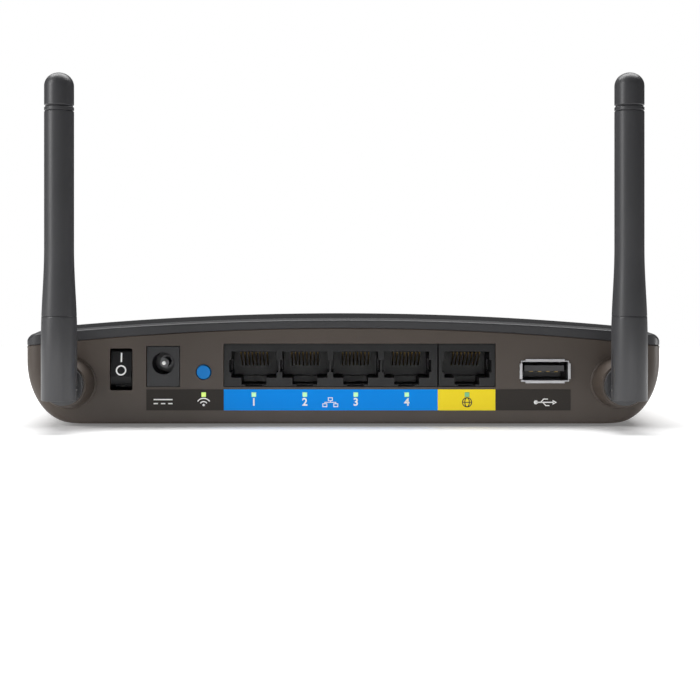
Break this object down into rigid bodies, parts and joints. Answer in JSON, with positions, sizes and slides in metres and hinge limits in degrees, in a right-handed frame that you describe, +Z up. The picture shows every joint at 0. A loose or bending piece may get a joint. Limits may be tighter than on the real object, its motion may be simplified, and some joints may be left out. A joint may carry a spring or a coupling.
{
  "type": "wireless router",
  "caption": "Flat table-top wireless router with a bowed lid, hinged swivelling rear antennas, a rocker switch, a pairing button and a row of rear sockets.",
  "frame": {"origin": "middle of the footprint of the whole object, antennas upright, on the surface it stands on", "axes": "+Z up, the rear panel with the sockets and antennas faces +Y, the front edge faces -Y, +X is to the left when the rear panel is seen"},
  "size_m": [0.18, 0.1527, 0.0945],
  "materials": {
    "case_shell": "fine moulded texture",
    "lid_shell": "fine moulded texture",
    "lid_inlay": "satin",
    "antenna": "satin",
    "jack_plastic": "matte",
    "contact_gold": "polished",
    "plated_steel": "polished",
    "board": "solder mask",
    "chip": "matte",
    "sink": "extruded",
    "pad": "soft",
    "foot_rubber": "matte",
    "lens": "clear",
    "button_blue": "satin",
    "button_red": "satin",
    "panel_film": "printed film, four bands",
    "rating_film": "blank film",
    "light_pipe": "translucent",
    "capacitor_sleeve": "shrink sleeve"
  },
  "bodies": {
    "case": {"bottom_case": "case_shell", "top_cover": "lid_shell", "top_inlay": "lid_inlay", "status_lens": "lens", "rubber_feet": "foot_rubber", "case_screws": "plated_steel", "rating_film": "rating_film", "right_pigtail": "jack_plastic", "left_pigtail": "jack_plastic", "right_lead_plug": "contact_gold", "left_lead_plug": "contact_gold", "switch_housing": "jack_plastic", "switch_terminals": "plated_steel", "inlet_housing": "jack_plastic", "inlet_pin": "plated_steel", "inlet_contact": "plated_steel", "pair_switch": "jack_plastic", "network_block": "jack_plastic", "network_contacts": "contact_gold", "modem_jack": "jack_plastic", "modem_contacts": "contact_gold", "usb_shell": "plated_steel", "usb_tongue": "jack_plastic", "usb_contacts": "contact_gold", "port_film": "panel_film", "light_pipes": "light_pipe", "port_leds": "light_pipe", "main_board": "board", "board_screws": "plated_steel", "processor": "chip", "thermal_pad": "pad", "heat_sink": "sink", "memory_chips": "chip", "crystal": "plated_steel", "radio_shields": "plated_steel", "radio_chips": "chip", "isolation_modules": "chip", "capacitors": "capacitor_sleeve", "power_inductor": "chip", "reset_switch": "jack_plastic"},
    "power_rocker": {"power_rocker": "jack_plastic"},
    "pair_button": {"pair_button": "button_blue", "pair_plunger": "plated_steel"},
    "reset_button": {"reset_button": "button_red", "reset_plunger": "plated_steel"},
    "right_swivel": {"right_swivel": "antenna", "right_swivel_clip": "plated_steel"},
    "right_antenna": {"right_knuckle": "antenna", "right_hinge_pin": "plated_steel", "right_whip": "antenna", "right_antenna_cap": "antenna", "right_radiator": "contact_gold"},
    "left_swivel": {"left_swivel": "antenna", "left_swivel_clip": "plated_steel"},
    "left_antenna": {"left_knuckle": "antenna", "left_hinge_pin": "plated_steel", "left_whip": "antenna", "left_antenna_cap": "antenna", "left_radiator": "contact_gold"}
  },
  "joints": [
    {"name": "right_antenna_swivel", "type": "hinge", "parent": "case", "child": "right_swivel", "pos_m": [0.0748, 0.07165, 0.012], "axis": [0, 1, 0], "range_deg": [-60, 90]},
    {"name": "right_antenna_tilt", "type": "hinge", "parent": "right_swivel", "child": "right_antenna", "pos_m": [0.0748, 0.07165, 0.012], "axis": [-1, 0, 0], "range_deg": [0, 90]},
    {"name": "left_antenna_swivel", "type": "hinge", "parent": "case", "child": "left_swivel", "pos_m": [-0.0748, 0.07165, 0.012], "axis": [0, -1, 0], "range_deg": [-60, 90]},
    {"name": "left_antenna_tilt", "type": "hinge", "parent": "left_swivel", "child": "left_antenna", "pos_m": [-0.0748, 0.07165, 0.012], "axis": [-1, 0, 0], "range_deg": [0, 90]},
    {"name": "power_switch", "type": "hinge", "parent": "case", "child": "power_rocker", "pos_m": [0.0609, 0.04815, 0.01565], "axis": [1, 0, 0], "range_deg": [-26, 0]},
    {"name": "pair_press", "type": "slide", "parent": "case", "child": "pair_button", "axis": [0, -1, 0], "range_m": [0, 0.0006], "stiffness_N_per_m": 500, "springref_m": -0.0006},
    {"name": "reset_press", "type": "slide", "parent": "case", "child": "reset_button", "axis": [0, 0, 1], "range_m": [0, 0.0004], "stiffness_N_per_m": 500, "springref_m": -0.0004}
  ]
}
